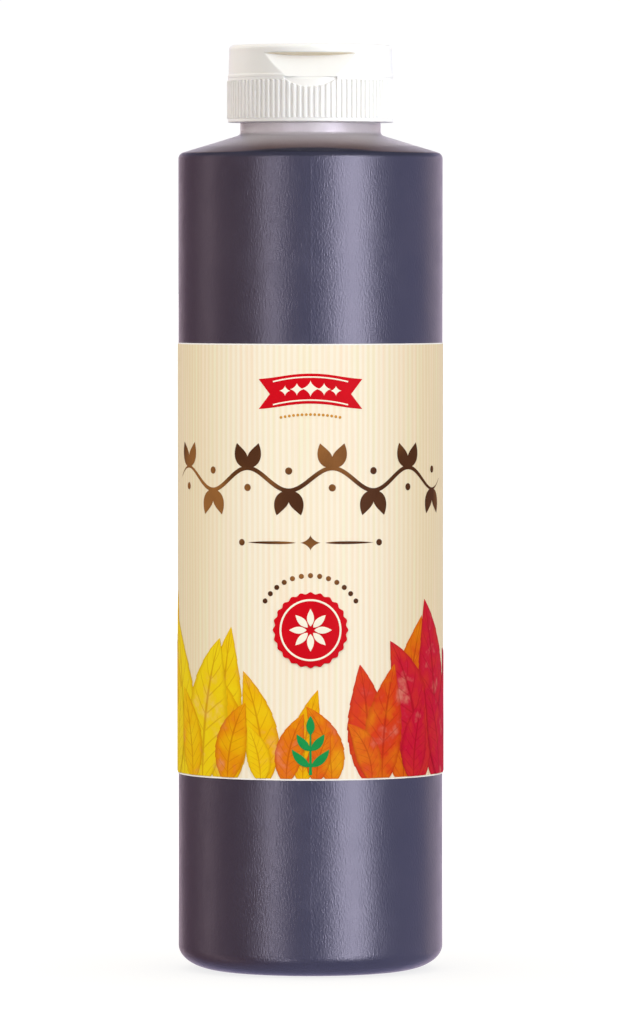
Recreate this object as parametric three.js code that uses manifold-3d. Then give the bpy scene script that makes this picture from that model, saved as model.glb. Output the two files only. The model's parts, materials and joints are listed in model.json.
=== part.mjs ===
// A tall round squeeze bottle of maple syrup with a wrap label and a white flip-top cap.
// Millimetres, +Z up. The origin is the middle of the foot, and the thumb scoop of the cap faces -Y.
import * as THREE from "three";
import { mergeVertices } from "three/addons/utils/BufferGeometryUtils.js";
import Module from "manifold-3d";

const wasm = await Module();
wasm.setup();

// Bottle: outside sizes, then the wall.
const BODY_RADIUS = 38.3;
const FOOT_PUSH_UP = 3.0;
const FOOT_RING_WIDTH = 2.4;
const HEEL_REACH = 12.0;
const HEEL_RISE = 7.0;
const SHOULDER_EDGE_Z = 236.2; // where the wall and the shoulder cone would meet
const SHOULDER_ROUND = 2.4;
const SHOULDER_SLOPE = 0.305; // rise of the cone for each millimetre inwards
const COLLAR_RADIUS = 20.35;
const COLLAR_TOP_Z = 245.25;
const COLLAR_ROUND = 0.9;
const COLLAR_FILLET = 1.2;
const NECK_RADIUS = 18.6;
const NECK_BORE = 16.6;
const NECK_TOP_Z = 257.2;
const WALL = 1.1;
const FLOOR = 1.7;

// Contents and label.
const SYRUP_LEVEL_Z = 237.4;
const SYRUP_GAP = 0.08;
const LABEL_BOTTOM_Z = 57.0;
const LABEL_TOP_Z = 181.9;
const LABEL_GAP = 0.05;
const LABEL_THICKNESS = 0.15;

// Cap base, screwed on the neck.
const CAP_BOTTOM_Z = 245.65;
const CAP_BAND_RADIUS = 23.95;
const CAP_BAND_HEIGHT = 1.1;
const CAP_CHAMFER = 0.35;
const CAP_BORE = 19.0;
const CAP_CEILING_Z = 257.5;
const RIB_COUNT = 94;
const RIB_CREST_RADIUS = 24.2;
const RIB_ROOT_RADIUS = 23.65;
const RIB_CREST_SHARE = 0.4; // part of a rib's pitch that its flat crest takes
const RIB_FOOT_SHARE = 0.72; // part of the pitch that the whole rib takes
const RIB_TOP_Z = 257.7;
const LEDGE_RADIUS = 23.5;
const LEDGE_Z = 258.2;
const DECK_RADIUS = 20.3;
const DECK_Z = 260.1;
const MOUTH_RADIUS = 7.2;
const MOUTH_RIM = 1.4;
const MOUTH_HEIGHT = 0.8;
const MOUTH_DISH = 0.6;

// Flip lid.
const LID_BOTTOM_Z = 258.5;
const TOP_Z = 268.0;
const LID_BEAD_RADIUS = 23.95;
const LID_BEAD_HEIGHT = 0.7;
const LID_BEAD_EASE = 0.35;
const LID_FOOT_RADIUS = 23.8;
const LID_TOP_RADIUS = 23.6;
const LID_ROUND = 1.3;
const LID_WALL = 1.3;
const LID_CAVITY_RADIUS = 22.4;
const LID_CEILING_Z = 266.4;

// Thumb scoop: a flat face that slopes in under the lid's lip.
const SCOOP_CORNER_Y = -19.75;
const SCOOP_CORNER_Z = 265.0;
const SCOOP_SLOPE = 0.489; // how far the face runs out for each millimetre down
const LIP_EDGE_Z = 266.3;
const LIP_SLOPE = 0.317; // how far the lip's underside drops for each millimetre inwards

// Hinge lugs at the back, on each side of the parting line.
const HINGE_WIDTH = 14.0;
const HINGE_FACE_Y = 24.75;
const HINGE_ROOT_Y = 22.8;
const HINGE_HEIGHT = 3.2;
const HINGE_BEVEL = 0.9;

const SIDES = 64; // facets round every turned piece, so that nested walls stay parallel
const FAR = 60; // reach of a cutter past the cap

// Points of a quarter-like round from one angle to another, as [radius, height].
function round(centreR, centreZ, reachR, reachZ, fromDeg, toDeg, steps) {
  return Array.from({ length: steps + 1 }, (_, i) => {
    const a = THREE.MathUtils.degToRad(fromDeg + ((toDeg - fromDeg) * i) / steps);
    return [centreR + reachR * Math.cos(a), centreZ + reachZ * Math.sin(a)];
  });
}

// A closed BufferGeometry with only merged positions, which booleans and nested facets need.
function bare(geometry) {
  geometry.deleteAttribute("normal");
  geometry.deleteAttribute("uv");
  return mergeVertices(geometry, 1e-4);
}

// A profile of [radius, height] points turned about Z. It runs upwards on the outside.
function turned(profile) {
  const points = profile.map(([r, z]) => new THREE.Vector2(r, z));
  return bare(new THREE.LatheGeometry(points, SIDES).rotateX(Math.PI / 2));
}

// A flat outline of [x, y] points raised from one height to another.
function raised(outline, fromZ, toZ) {
  const shape = new THREE.Shape(outline.map(([x, y]) => new THREE.Vector2(x, y)));
  const geometry = new THREE.ExtrudeGeometry(shape, { depth: toZ - fromZ, bevelEnabled: false });
  return bare(geometry.translate(0, 0, fromZ));
}

// An outline of [y, z] points carried along X, evenly to both sides of the middle.
function across(outline, width) {
  const shape = new THREE.Shape(outline.map(([y, z]) => new THREE.Vector2(y, z)));
  const geometry = new THREE.ExtrudeGeometry(shape, { depth: width, bevelEnabled: false });
  geometry.translate(0, 0, -width / 2);
  const yzxToXyz = new THREE.Matrix4().set(0, 0, 1, 0, 1, 0, 0, 0, 0, 1, 0, 0, 0, 0, 0, 1);
  return bare(geometry.applyMatrix4(yzxToXyz));
}

function solid(geometry) {
  const vertProperties = new Float32Array(geometry.attributes.position.array);
  const triVerts = new Uint32Array(geometry.index.array);
  return new wasm.Manifold(new wasm.Mesh({ numProp: 3, vertProperties, triVerts }));
}

function geometryOf(manifold) {
  const { vertProperties, triVerts } = manifold.getMesh();
  const geometry = new THREE.BufferGeometry();
  geometry.setAttribute("position", new THREE.BufferAttribute(vertProperties, 3));
  geometry.setIndex(new THREE.BufferAttribute(triVerts, 1));
  geometry.computeVertexNormals();
  return geometry;
}

function piece(name, geometry, colour, roughness) {
  const material = new THREE.MeshStandardMaterial({ color: colour, roughness, metalness: 0 });
  const mesh = new THREE.Mesh(geometry, material);
  mesh.name = name;
  return mesh;
}

// The flat ring of the foot lies between these two radii.
const FOOT_OUTER = BODY_RADIUS - HEEL_REACH;
const FOOT_INNER = FOOT_OUTER - FOOT_RING_WIDTH;

const CONE_DEG = THREE.MathUtils.radToDeg(Math.atan(SHOULDER_SLOPE));

// How far along each side a round starts when two sides turn by the given angle.
const setback = (radius, turnDeg) => radius * Math.tan(THREE.MathUtils.degToRad(turnDeg / 2));

// Height of the outside shoulder cone at a radius.
const coneZ = (r) => SHOULDER_EDGE_Z + (BODY_RADIUS - r) * SHOULDER_SLOPE;

// The shoulder's rounded edge: an arc tangent to the wall and to the cone.
function shoulderRound(wallRadius, edgeZ, steps) {
  const r = SHOULDER_ROUND;
  return round(wallRadius - r, edgeZ - setback(r, 90 - CONE_DEG), r, r, 0, 90 - CONE_DEG, steps);
}

// The hollow round where the cone runs up into the collar.
function collarFillet(steps) {
  const f = COLLAR_FILLET;
  const centreZ = coneZ(COLLAR_RADIUS) + setback(f, 90 - CONE_DEG);
  return round(COLLAR_RADIUS + f, centreZ, f, f, 270 - CONE_DEG, 180, steps);
}

// The collar's soft top edge, just under the cap.
function collarRound(steps) {
  const r = COLLAR_ROUND;
  return round(COLLAR_RADIUS - r, COLLAR_TOP_Z - r, r, r, 0, 90, steps);
}

// Blow-moulded bottle: pushed-up foot, soft heel, straight wall, cone shoulder, collar and neck.
function bottleGeometry() {
  const outside = [
    ...round(0, 0, FOOT_INNER, FOOT_PUSH_UP, 90, 0, 4),
    ...round(FOOT_OUTER, HEEL_RISE, HEEL_REACH, HEEL_RISE, -90, 0, 6),
    ...shoulderRound(BODY_RADIUS, SHOULDER_EDGE_Z, 4),
    ...collarFillet(3),
    ...collarRound(3),
    [NECK_RADIUS, COLLAR_TOP_Z],
    [NECK_RADIUS, NECK_TOP_Z],
  ];
  const inside = [
    [NECK_BORE, NECK_TOP_Z],
    [NECK_BORE, coneZ(NECK_BORE) - WALL],
    ...shoulderRound(BODY_RADIUS - WALL, SHOULDER_EDGE_Z - WALL, 3).reverse(),
    ...round(FOOT_OUTER, HEEL_RISE, HEEL_REACH - WALL, HEEL_RISE - FLOOR, 0, -90, 4),
    ...round(0, FLOOR, FOOT_INNER, FOOT_PUSH_UP, 0, 90, 4),
  ];
  return turned([...outside, ...inside]);
}

// Syrup: fills the bottle from its floor up into the shoulder cone, to the level that shows there.
function syrupGeometry() {
  const radius = BODY_RADIUS - WALL - SYRUP_GAP;
  const edgeZ = SHOULDER_EDGE_Z - WALL - SYRUP_GAP;
  const floorZ = FLOOR + SYRUP_GAP;
  const levelRadius = radius - (SYRUP_LEVEL_Z - edgeZ) / SHOULDER_SLOPE;
  return turned([
    ...round(0, floorZ, FOOT_INNER, FOOT_PUSH_UP, 90, 0, 4),
    ...round(FOOT_OUTER, HEEL_RISE, radius - FOOT_OUTER, HEEL_RISE - floorZ, -90, 0, 4),
    ...shoulderRound(radius, edgeZ, 3),
    [levelRadius, SYRUP_LEVEL_Z],
    [0, SYRUP_LEVEL_Z],
  ]);
}

// Label: a sleeve of film, a closed ring that wraps the straight wall.
function labelGeometry() {
  const inner = BODY_RADIUS + LABEL_GAP;
  const outer = inner + LABEL_THICKNESS;
  const ring = [
    [inner, LABEL_BOTTOM_Z],
    [outer, LABEL_BOTTOM_Z],
    [outer, LABEL_TOP_Z],
    [inner, LABEL_TOP_Z],
    [inner, LABEL_BOTTOM_Z],
  ];
  return turned(ring);
}

// The wedge of air in front of the scoop's face. inset moves the face into the cap.
function scoopWedge(inset) {
  const faceY = (z) => SCOOP_CORNER_Y - (SCOOP_CORNER_Z - z) * SCOOP_SLOPE + inset;
  const lowZ = CAP_BOTTOM_Z;
  const highZ = TOP_Z + LID_ROUND;
  const outline = [
    [-FAR, lowZ],
    [faceY(lowZ), lowZ],
    [faceY(highZ), highZ],
    [-FAR, highZ],
  ];
  return solid(across(outline, 2 * FAR));
}

// A hinge lug on the back of the cap, with its free end bevelled. up is 1 on the lid and -1 on the base.
function hingeLug(startZ, up) {
  const outline = [
    [HINGE_ROOT_Y, startZ],
    [HINGE_FACE_Y, startZ],
    [HINGE_FACE_Y, startZ + up * (HINGE_HEIGHT - HINGE_BEVEL)],
    [HINGE_FACE_Y - HINGE_BEVEL, startZ + up * HINGE_HEIGHT],
    [HINGE_ROOT_Y, startZ + up * HINGE_HEIGHT],
  ];
  return solid(across(outline, HINGE_WIDTH));
}

// Outline of the ribbed skirt: each rib has a flat crest and a flat root.
function ribOutline() {
  const pitch = (2 * Math.PI) / RIB_COUNT;
  const corners = [
    [-RIB_FOOT_SHARE / 2, RIB_ROOT_RADIUS],
    [-RIB_CREST_SHARE / 2, RIB_CREST_RADIUS],
    [RIB_CREST_SHARE / 2, RIB_CREST_RADIUS],
    [RIB_FOOT_SHARE / 2, RIB_ROOT_RADIUS],
  ];
  const outline = [];
  for (let rib = 0; rib < RIB_COUNT; rib++) {
    for (const [share, r] of corners) {
      const a = (rib + share) * pitch;
      outline.push([r * Math.cos(a), r * Math.sin(a)]);
    }
  }
  return outline;
}

// Cap base: ribbed skirt over a plain band, a ledge for the lid, and a deck with a dished mouth.
function capBaseGeometry() {
  const bandTopZ = CAP_BOTTOM_Z + CAP_BAND_HEIGHT;
  const core = solid(
    turned([
      [CAP_BORE, CAP_BOTTOM_Z],
      [CAP_BAND_RADIUS - CAP_CHAMFER, CAP_BOTTOM_Z],
      [CAP_BAND_RADIUS, CAP_BOTTOM_Z + CAP_CHAMFER],
      [CAP_BAND_RADIUS, bandTopZ],
      [LEDGE_RADIUS, bandTopZ],
      [LEDGE_RADIUS, LEDGE_Z],
      [DECK_RADIUS, LEDGE_Z],
      [DECK_RADIUS, DECK_Z],
      [MOUTH_RADIUS, DECK_Z],
      [MOUTH_RADIUS, DECK_Z + MOUTH_HEIGHT],
      [MOUTH_RADIUS - MOUTH_RIM, DECK_Z + MOUTH_HEIGHT],
      [0, DECK_Z + MOUTH_HEIGHT - MOUTH_DISH],
      [0, CAP_CEILING_Z],
      [CAP_BORE, CAP_CEILING_Z],
      [CAP_BORE, CAP_BOTTOM_Z],
    ]),
  );
  const bore = solid(
    turned([
      [0, CAP_BOTTOM_Z - FAR],
      [CAP_BORE, CAP_BOTTOM_Z - FAR],
      [CAP_BORE, CAP_CEILING_Z],
      [0, CAP_CEILING_Z],
    ]),
  );
  const ribs = solid(raised(ribOutline(), bandTopZ - CAP_CHAMFER, RIB_TOP_Z)).subtract(bore);
  const skirt = core.add(ribs).add(hingeLug(LEDGE_Z, -1));
  return geometryOf(skirt.subtract(scoopWedge(0)));
}

// Flip lid: a shallow shell with a beaded foot, a rounded top edge and a lip over the thumb scoop.
function lidGeometry() {
  const lipZ = (r) => LIP_EDGE_Z - (LID_TOP_RADIUS - r) * LIP_SLOPE;
  const outside = solid(
    turned([
      [0, LID_BOTTOM_Z],
      [LID_BEAD_RADIUS, LID_BOTTOM_Z],
      [LID_BEAD_RADIUS, LID_BOTTOM_Z + LID_BEAD_HEIGHT],
      [LID_FOOT_RADIUS, LID_BOTTOM_Z + LID_BEAD_HEIGHT + LID_BEAD_EASE],
      ...round(LID_TOP_RADIUS - LID_ROUND, TOP_Z - LID_ROUND, LID_ROUND, LID_ROUND, 0, 90, 4),
      [0, TOP_Z],
    ]),
  );
  const lip = solid(
    turned([
      [0, lipZ(0)],
      [FAR, lipZ(FAR)],
      [FAR, lipZ(FAR) + FAR],
      [0, lipZ(FAR) + FAR],
    ]),
  );
  const cavity = solid(
    turned([
      [0, LID_BOTTOM_Z - LID_WALL],
      [LID_CAVITY_RADIUS, LID_BOTTOM_Z - LID_WALL],
      [LID_CAVITY_RADIUS, LID_CEILING_Z],
      [0, LID_CEILING_Z],
    ]),
  );
  const faceWall = LID_WALL * Math.hypot(1, SCOOP_SLOPE);
  const shell = outside.add(hingeLug(LID_BOTTOM_Z, 1));
  const scooped = shell.subtract(scoopWedge(0).subtract(lip));
  return geometryOf(scooped.subtract(cavity.subtract(scoopWedge(faceWall))));
}

const bottle = new THREE.Group();
bottle.name = "syrup_bottle";
bottle.add(
  piece("bottle", bottleGeometry(), 0xd9d0d2, 0.42),
  piece("syrup", syrupGeometry(), 0x2a1510, 0.1),
  piece("label", labelGeometry(), 0xf3e8c8, 0.55),
);
const cap = new THREE.Group();
cap.name = "flip_top_cap";
cap.add(
  piece("cap_base", capBaseGeometry(), 0xf6f5f2, 0.35),
  piece("lid", lidGeometry(), 0xf6f5f2, 0.35),
);
bottle.add(cap);

export default bottle;
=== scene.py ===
import json
import math

import bmesh
import bpy
import numpy as np
from bpy.props import FloatProperty, FloatVectorProperty, IntProperty, PointerProperty
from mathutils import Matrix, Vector


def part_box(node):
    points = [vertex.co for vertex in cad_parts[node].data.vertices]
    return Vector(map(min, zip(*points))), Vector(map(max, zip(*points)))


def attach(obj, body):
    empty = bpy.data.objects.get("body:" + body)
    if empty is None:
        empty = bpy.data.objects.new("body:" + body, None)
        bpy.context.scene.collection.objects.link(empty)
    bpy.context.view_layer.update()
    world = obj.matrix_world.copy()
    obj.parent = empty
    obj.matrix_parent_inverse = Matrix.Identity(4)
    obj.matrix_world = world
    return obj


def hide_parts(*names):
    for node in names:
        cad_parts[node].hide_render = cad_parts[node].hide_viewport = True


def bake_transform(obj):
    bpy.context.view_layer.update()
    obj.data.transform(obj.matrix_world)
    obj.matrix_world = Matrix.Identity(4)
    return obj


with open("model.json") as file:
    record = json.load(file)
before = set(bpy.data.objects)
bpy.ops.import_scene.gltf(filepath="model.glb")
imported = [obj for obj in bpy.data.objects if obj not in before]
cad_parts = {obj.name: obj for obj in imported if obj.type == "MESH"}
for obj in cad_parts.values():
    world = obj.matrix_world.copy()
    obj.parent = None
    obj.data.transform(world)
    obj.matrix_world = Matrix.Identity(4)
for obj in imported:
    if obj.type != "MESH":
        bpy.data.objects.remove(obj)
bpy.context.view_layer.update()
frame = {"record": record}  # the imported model, in metres

bl_info = {
    "name": "Syrup bottle",
    "version": (1, 0, 0),
    "blender": (4, 5, 0),
    "location": "3D View > Sidebar > Syrup Bottle",
    "description": "Builds a squeeze bottle of maple syrup with a wrap label and a flip-top cap",
    "category": "Object",
}

MM = 0.001
BOTTLE_BODY = "bottle_body"
LID_BODY = "lid_body"
BOTTLE_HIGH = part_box("bottle")[1]
SYRUP_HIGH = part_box("syrup")[1]
LABEL_LOW, LABEL_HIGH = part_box("label")
BASE_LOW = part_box("cap_base")[0]
LID_LOW, LID_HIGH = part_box("lid")
HINGE = frame["record"]["behaviour"]["joints"][0]["pos_m"]

WELD = 2e-6  # points closer than this are one point
SHARP = math.radians(38)  # edges that turn more than this stay crisp


def size(name, millimetres, description):
    """A length that a user may change, with its default in millimetres."""
    return FloatProperty(
        name=name, description=description, default=millimetres * MM, unit="LENGTH", precision=5
    )


def tint(name, colour, description):
    """A linear colour that a user may change."""
    return FloatVectorProperty(
        name=name, description=description, default=colour, size=3, min=0, max=1, subtype="COLOR"
    )


def number(name, value, description):
    """A plain number that a user may change."""
    return FloatProperty(name=name, description=description, default=value)


def count(name, value, description):
    """A whole number that a user may change."""
    return IntProperty(name=name, description=description, default=value)


class BottleSettings(bpy.types.PropertyGroup):
    """Sizes and colours of the bottle and the syrup in it"""

    radius: size("Body radius", BOTTLE_HIGH[0] / MM, "Outside of the straight wall")
    heel_reach: size("Heel reach", 12.0, "How far the soft heel curves in")
    heel_rise: size("Heel rise", 7.0, "How far the soft heel curves up")
    push_up: size("Foot push-up", 3.0, "Height of the hollow under the foot")
    ring_width: size("Foot ring", 2.4, "Width of the flat ring that the bottle stands on")
    shoulder_z: size("Shoulder height", 236.55, "Where the wall and the cone would meet")
    shoulder_round: size("Shoulder round", 2.0, "Radius of the edge between wall and cone")
    shoulder_slope: number("Shoulder slope", 0.305, "Rise of the cone over its run inwards")
    collar_radius: size("Collar radius", 20.35, "Outside of the collar under the cap")
    collar_top: size("Collar top", 245.58, "Height of the collar's top face")
    collar_round: size("Collar round", 0.3, "Radius of the collar's top edge")
    collar_fillet: size("Collar fillet", 1.2, "Radius where the cone runs up into the collar")
    neck_radius: size("Neck radius", 18.6, "Outside of the neck inside the cap")
    neck_bore: size("Neck bore", 16.6, "Inside of the neck")
    neck_top: size("Neck top", BOTTLE_HIGH[2] / MM, "Height of the neck's rim")
    wall: size("Wall", 1.1, "Thickness of the blown wall")
    floor: size("Floor", 1.7, "Thickness of the bottle's floor")
    level: size("Syrup level", SYRUP_HIGH[2] / MM, "Height of the syrup's surface")
    into_wall: size("Reach into wall", 0.4, "How far the syrup reaches into the wall")
    meniscus: size("Meniscus", 0.4, "How far the syrup climbs at the wall")
    # painted backlight: the painted brown band ends this much lower at the left and right sides, where light
    # from behind shines through
    backlit_side_drop: number("Film sag", 3.0, "How much lower the film of syrup ends at the sides")
    seam: size("Mould seam", 0.03, "Height of the fine line left by the mould")
    wall_over_syrup: tint("Wall over syrup", (0.074, 0.084, 0.168), "Haze of the wall before dark syrup")
    # painted shade: the brown wall just above the level stands for the shaded neck seen through the cone
    wall_neck_shade: tint("Wall just above", (0.28, 0.185, 0.18), "Wall with a film of syrup on it")
    wall_over_air: tint("Wall over air", (0.84, 0.81, 0.82), "Milky wall with nothing behind it")
    # how far that painted shade fades out above the level
    neck_shade_fade: size("Syrup film", 5.0, "How far the film of syrup fades out above the level")
    syrup_colour: tint("Syrup", (0.010, 0.005, 0.004), "Deep brown of the syrup")


class LabelSettings(bpy.types.PropertyGroup):
    """Sizes and colours of the wrap label and its print"""

    radius: size("Label radius", LABEL_HIGH[0] / MM, "Outside of the film")
    thickness: size("Film thickness", 0.15, "Thickness of the film")
    bottom: size("Label bottom", LABEL_LOW[2] / MM, "Height of the lower cut edge")
    top: size("Label top", LABEL_HIGH[2] / MM, "Height of the upper cut edge")
    lap: size("Lap", 0.08, "Step where the film's end laps over its start")
    ink: size("Ink step", 0.05, "Height of one layer of print over the film")
    stripes: count("Grain stripes", 139, "Fine grain stripes round the label")
    cream: tint("Cream", (0.94, 0.87, 0.72), "Film in the middle of a face")
    deep: tint("Deep cream", (0.86, 0.745, 0.525), "Film at the sides, between the faces")
    blush: tint("Blush", (0.93, 0.79, 0.62), "Warm streaks of the wood grain")
    straw: tint("Straw", (0.87, 0.86, 0.60), "Greenish streaks of the wood grain")
    pale: tint("Pale ink", (0.96, 0.92, 0.78), "Light marks on the seal and the ribbon")
    cut_edge: tint("Cut edge", (0.97, 0.96, 0.93), "White edge of the cut film")
    brown: tint("Brown ink", (0.082, 0.030, 0.012), "Ink of the vine, rule and beads")
    red: tint("Red ink", (0.64, 0.003, 0.011), "Ink of the seal and the ribbon")
    tan: tint("Tan ink", (0.30, 0.125, 0.035), "Lighter wash in the brown ink")
    gold: tint("Gold ink", (0.62, 0.30, 0.045), "Ink of the dotted line under the ribbon")
    green: tint("Green ink", (0.012, 0.30, 0.075), "Ink of the sprig")
    leaves: count("Leaves", 16, "Leaves in each layer round the label")


class CapSettings(bpy.types.PropertyGroup):
    """Sizes and colour of the flip-top cap"""

    ribs: count("Ribs", 94, "Grip ribs round the cap base")
    crest: size("Rib crest", 24.2, "Radius over the ribs")
    root: size("Rib root", 23.65, "Radius between the ribs")
    band: size("Band radius", 23.95, "Radius of the plain band under the ribs")
    band_height: size("Band height", 1.1, "Height of the plain band")
    bore: size("Bore", 19.0, "Inside radius over the neck")
    ceiling: size("Base ceiling", 257.5, "Height of the underside over the neck's rim")
    rib_top: size("Rib top", 257.7, "Height where the ribs end")
    ledge: size("Ledge radius", 23.93, "Radius of the ledge under the lid")
    ledge_z: size("Ledge height", LID_LOW[2] / MM - 0.03, "Height of the ledge under the lid")
    deck: size("Deck radius", 20.3, "Radius of the raised deck")
    deck_z: size("Deck height", 260.1, "Height of the raised deck")
    mouth: size("Mouth radius", 7.2, "Outside of the ring round the mouth")
    mouth_rim: size("Mouth rim", 1.4, "Width of the ring round the mouth")
    mouth_dish: size("Mouth dish", 0.6, "Depth of the dished mouth")
    lid_bead: size("Lid bead", 23.95, "Radius of the bead at the lid's foot")
    lid_bead_height: size("Lid bead height", 0.7, "Height of the bead at the lid's foot")
    lid_foot: size("Lid foot", 23.8, "Radius of the lid above its bead")
    lid_head: size("Lid head", 23.6, "Radius of the lid under its rounded top edge")
    lid_round: size("Lid round", 1.3, "Radius of the lid's top edge")
    lid_cavity: size("Lid cavity", 22.4, "Inside radius of the lid")
    lid_ceiling: size("Lid ceiling", 266.4, "Height of the lid's underside")
    lid_wall: size("Lid wall", 1.3, "Thickness of the wall behind the scoop")
    scoop_y: size("Scoop corner", 19.75, "Distance of the scoop's top corner from the axis")
    scoop_z: size("Scoop corner height", 265.0, "Height of the scoop's top corner")
    scoop_slope: number("Scoop slope", 0.489, "Run of the scoop's face over its drop")
    notch_width: size("Notch width", 7.7, "Half the width of the thumb notch in the ribs")
    notch_depth: size("Notch depth", 2.4, "How far the thumb notch reaches down into the ribs")
    notch_floor: size("Notch floor", 23.35, "Radius of the thumb notch's floor at the top of the ribs")
    notch_slope: number("Notch slope", 0.2, "Run of the notch's floor outwards over its drop")
    lip_z: size("Lip height", 265.3, "Height of the lower edge of the lip")
    lip_slope: number("Lip slope", 0.2, "Drop of the lip's underside over its run inwards")
    lip_round: size("Lip round", 0.65, "Radius of the lip's lower edge")
    soft: size("Edge softness", 0.05, "Softness of moulded edges")
    lug_width: size("Hinge width", 14.0, "Width of the hinge lugs")
    lug_height: size("Hinge lug height", 3.2, "Height of each hinge lug")
    lug_bevel: size("Hinge lug bevel", 0.9, "Bevel at the free end of each lug")
    film: size("Hinge film", 0.26, "Thickness of the thin strap between the lugs")
    white: tint("Cap white", (0.88, 0.877, 0.865), "Warm white of the cap")
    # painted shade: this warm tone stands in for the crescent shadow under the lip over the scoop
    underside: tint("Underside", (0.97, 0.86, 0.66), "Warm tone of the thick lip's underside")


class StageSettings(bpy.types.PropertyGroup):
    """Camera, lights and floor"""

    eye_height: size("Eye height", 208.0, "Height of the camera")
    eye_distance: size("Eye distance", 2450.0, "Distance of the camera from the bottle's axis")
    frame_height: size("Frame height", 297.1, "Height that the picture shows at the axis")
    frame_middle: size("Frame middle", 132.7, "Height at the middle of the picture")
    ambient: number("Ambient", 1.0, "Soft light from all round")
    ambient_colour: tint("Ambient colour", (1.0, 0.95, 0.88), "Warm tone of the light from all round")
    gloom: number("Gloom", 1.47, "What shines back from the dim walls of the room")
    gloom_left: tint("Gloom at the left", (0.46, 0.22, 0.24), "Warm dim wall at the left")
    gloom_right: tint("Gloom at the right", (0.62, 0.59, 1.0), "Cool dim wall in front and at the right")
    key: number("Key", 8.7, "Radiance of the wide strip on the right")
    fill: number("Fill", 5.3, "Radiance of the narrow strip on the left")
    side: number("Side", 1.28, "Radiance of the strip at the far left")
    backdrop: number("Backdrop", 0.52, "Radiance of the panel behind")
    cap_light: number("Cap light", 3.3, "Radiance of the soft panel on the cap")
    cap_rim: number("Cap rim", 2.3, "Radiance of the panel at the cap's left")
    collar: number("Collar", 0.30, "Strength of the narrow beam on the collar")
    neck: number("Neck", 0.28, "Radiance of the panel over the shoulder")
    front: number("Front", 1.75, "Radiance of the two soft panels on the label")
    rear: number("Rear", 2.6, "Radiance of the large soft panel behind")
    key_colour: tint("Key colour", (0.86, 0.81, 1.0), "Cool light of the key strip")
    fill_colour: tint("Fill colour", (0.87, 0.81, 1.0), "Light of the fill strip")
    side_colour: tint("Side colour", (1.0, 0.81, 0.87), "Warm light from the far left")
    backdrop_colour: tint("Backdrop colour", (1.0, 0.75, 0.66), "Warm light from behind")
    neck_colour: tint("Neck light colour", (1.0, 0.95, 0.92), "Warm light over the shoulder")
    cap_colour: tint("Cap light colour", (0.90, 0.96, 1.0), "Cool light on the cap")
    floor_colour: tint("Floor", (0.25, 0.25, 0.25), "Share of light that the floor sends back")


# Curves and grids


def arc(centre, reach, start, end, steps):
    """Rows of (radius, height) on an ellipse: centre plus reach times cosine and sine of an angle."""
    turn = np.radians(np.linspace(start, end, steps + 1))
    return np.column_stack((centre[0] + reach[0] * np.cos(turn), centre[1] + reach[1] * np.sin(turn)))


def line(start, end, steps):
    """Rows of (radius, height) evenly spaced on a straight line, without its ends."""
    share = np.linspace(0, 1, steps + 2)[1:-1, None]
    return np.array(start) * (1 - share) + np.array(end) * share


def ramp(value, low, high):
    """0 below low, 1 above high and a smooth cubic step between them."""
    share = np.clip((value - low) / (high - low), 0, 1)
    return share * share * (3 - 2 * share)


def softest(first, second, softness):
    """The smaller of two surfaces, with a rounded edge between: a logarithm of summed exponentials."""
    low = np.minimum(first, second)
    return low - softness * np.log1p(np.exp(-np.abs(first - second) / softness))


def turn_angles(steps):
    """Angles of the columns round the axis, from the front at 0 towards +X."""
    return np.linspace(0, 2 * np.pi, steps, endpoint=False)


def turned(radius, height, angles):
    """Grid of points at a radius and a height for each row and at an angle for each column."""
    radius = np.broadcast_to(radius, np.broadcast_shapes(np.shape(radius), (1, len(angles))))
    height = np.broadcast_to(height, radius.shape)
    return np.stack((radius * np.sin(angles), -radius * np.cos(angles), height), axis=-1)


def grid_faces(rows, columns, ring):
    """Quads between neighbouring rows and columns. Columns join up, and so do rows of a ring."""
    index = np.arange(rows * columns).reshape(rows, columns)
    lower = index if ring else index[:-1]
    upper = np.roll(index, -1, axis=0) if ring else index[1:]
    corners = (lower, np.roll(lower, -1, axis=1), np.roll(upper, -1, axis=1), upper)
    return np.stack(corners, axis=-1).reshape(-1, 4)


def shut_ends(rows):
    """1 for every row but the first and the last, where a section closes to nothing."""
    shut = np.ones((rows, 1))
    shut[[0, -1]] = 0
    return shut


def skin(name, grids, ring=False, uvs=None, tints=None):
    """One closed mesh from grids of points. Poles and seams are welded, and faces point outwards.

    uvs holds a grid of (u, v) for each grid of points, and tints one value for each grid."""
    points = np.concatenate([grid.reshape(-1, 3) for grid in grids])
    starts = np.cumsum([0] + [grid.shape[0] * grid.shape[1] for grid in grids])
    faces = [grid_faces(*grid.shape[:2], ring) + start for grid, start in zip(grids, starts)]
    faces = np.concatenate(faces)
    mesh = bpy.data.meshes.new(name)
    mesh.from_pydata(points.tolist(), [], faces.tolist())
    if uvs is not None:
        flat = np.concatenate([uv.reshape(-1, 2) for uv in uvs])
        layer = mesh.uv_layers.new(name="print")
        layer.data.foreach_set("uv", flat[faces.ravel()].astype(np.float32).ravel())
    if tints is not None:
        values = np.repeat(np.asarray(tints, np.float32), np.diff(starts))
        mesh.attributes.new("tint", "FLOAT", "POINT").data.foreach_set("value", values)
    shell = bmesh.new()
    shell.from_mesh(mesh)
    bmesh.ops.remove_doubles(shell, verts=shell.verts, dist=WELD)
    bmesh.ops.recalc_face_normals(shell, faces=shell.faces)
    shell.to_mesh(mesh)
    shell.free()
    mesh.shade_smooth()
    mesh.set_sharp_from_angle(angle=SHARP)
    return mesh


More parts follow.
